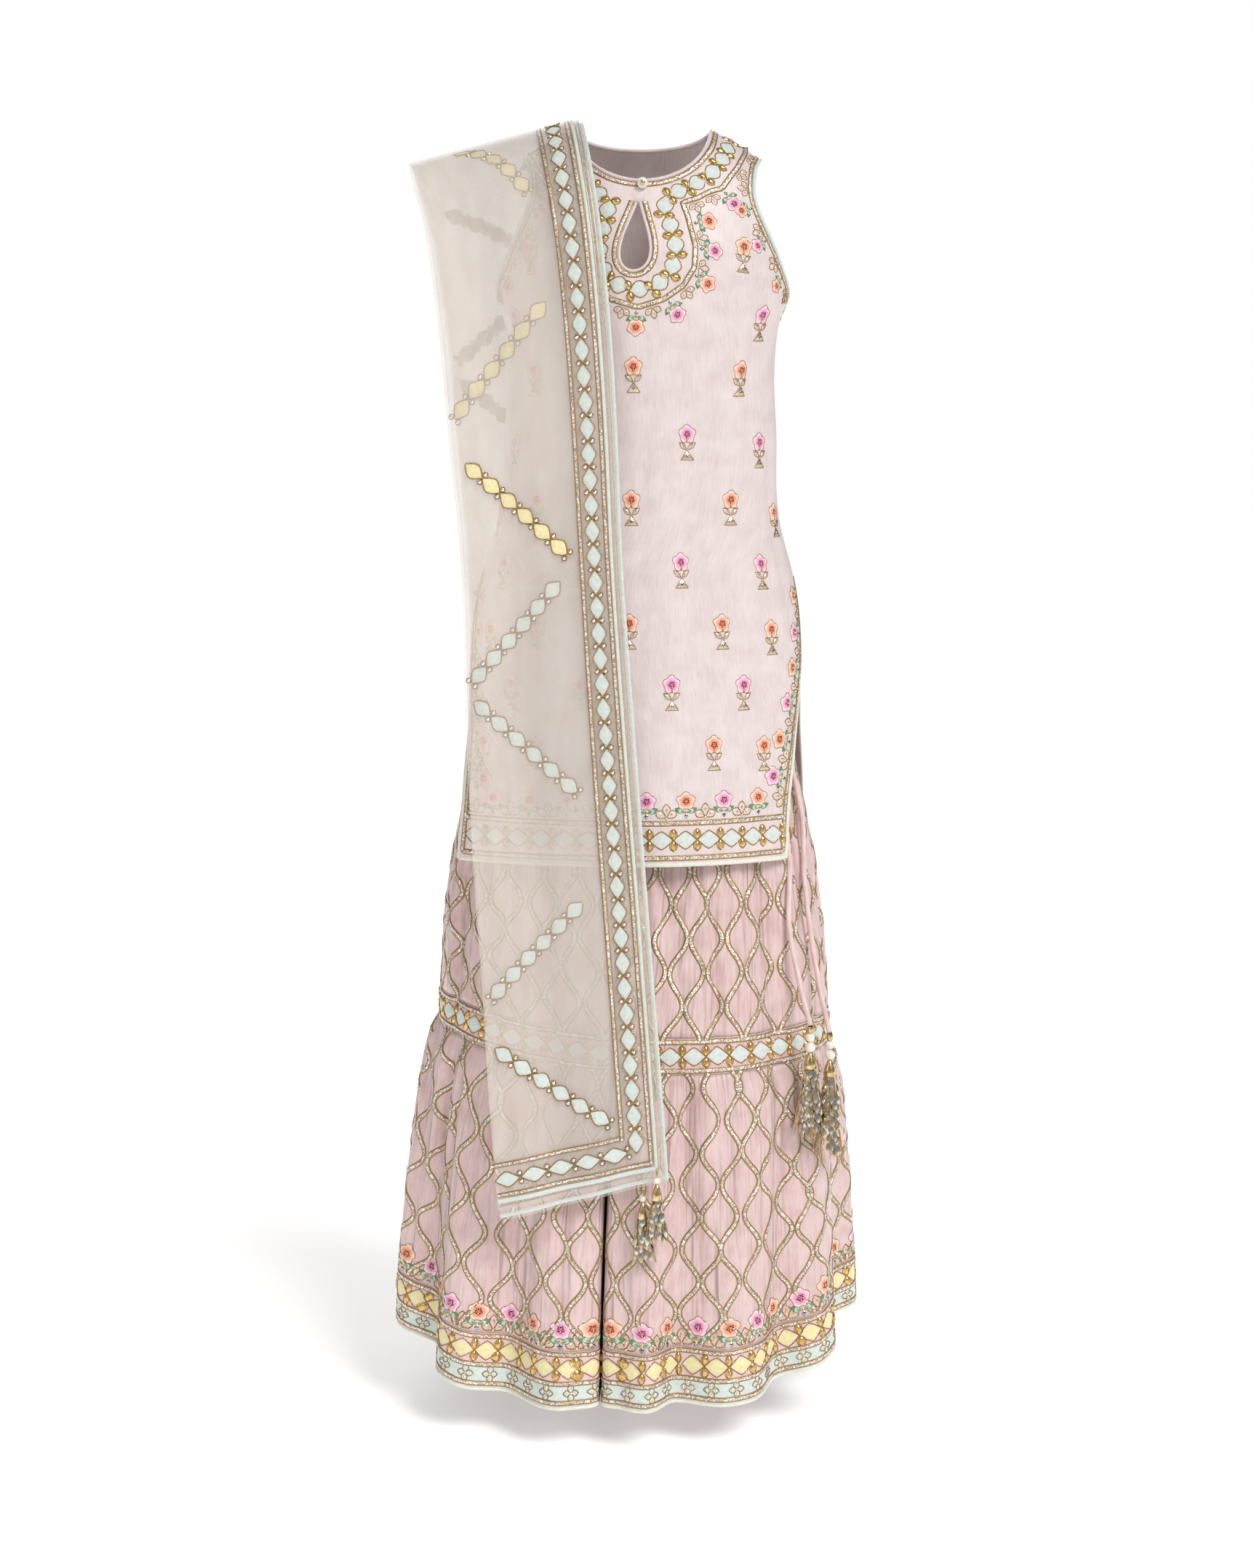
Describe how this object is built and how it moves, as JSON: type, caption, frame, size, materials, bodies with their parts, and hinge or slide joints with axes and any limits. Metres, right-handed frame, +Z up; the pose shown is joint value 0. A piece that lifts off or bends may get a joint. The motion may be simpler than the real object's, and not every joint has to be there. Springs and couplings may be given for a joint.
{
  "type": "three-piece festive suit",
  "caption": "Worn three-piece suit: short sleeveless tunic with side slits, gathered two-tier flared trousers, and a folded net shawl over the right shoulder; pink silk, gold and mint borders",
  "frame": {"origin": "midway between the neck points of the tunic's shoulder seams, where the wearer's shoulders hold the suit up", "axes": "+Z up, -Y the front of the suit, +X the wearer's left"},
  "size_m": [0.5454, 0.4606, 1.421],
  "materials": {
    "tunic_silk": "satin",
    "trouser_silk": "satin",
    "mint_trim": "matte",
    "shawl_net": "matte",
    "gold_thread": "satin",
    "silk_cord": "satin",
    "hem_cloth": "satin",
    "embroidery": "matte",
    "mirror_work": "polished"
  },
  "bodies": {
    "root": {"tunic_front": "tunic_silk", "tunic_back": "tunic_silk", "tunic_front_edge": "mint_trim", "tunic_back_edge": "mint_trim", "neck_binding": "mint_trim", "armhole_binding_left": "mint_trim", "armhole_binding_right": "mint_trim", "keyhole_binding": "mint_trim", "neck_button": "gold_thread", "waistband": "trouser_silk", "upper_tier_left": "trouser_silk", "tier_band_left": "trouser_silk", "lower_tier_left": "trouser_silk", "hem_border_left": "hem_cloth", "upper_tier_right": "trouser_silk", "tier_band_right": "trouser_silk", "lower_tier_right": "trouser_silk", "hem_border_right": "hem_cloth", "shawl": "shawl_net", "corner_tassel_front_outer": "gold_thread", "corner_tassel_front_inner": "gold_thread", "corner_tassel_back_outer": "gold_thread", "corner_tassel_back_inner": "gold_thread", "drawstring_end_a": "silk_cord", "drawstring_tassel_a": "gold_thread", "drawstring_end_b": "silk_cord", "drawstring_tassel_b": "gold_thread"}
  },
  "joints": []
}
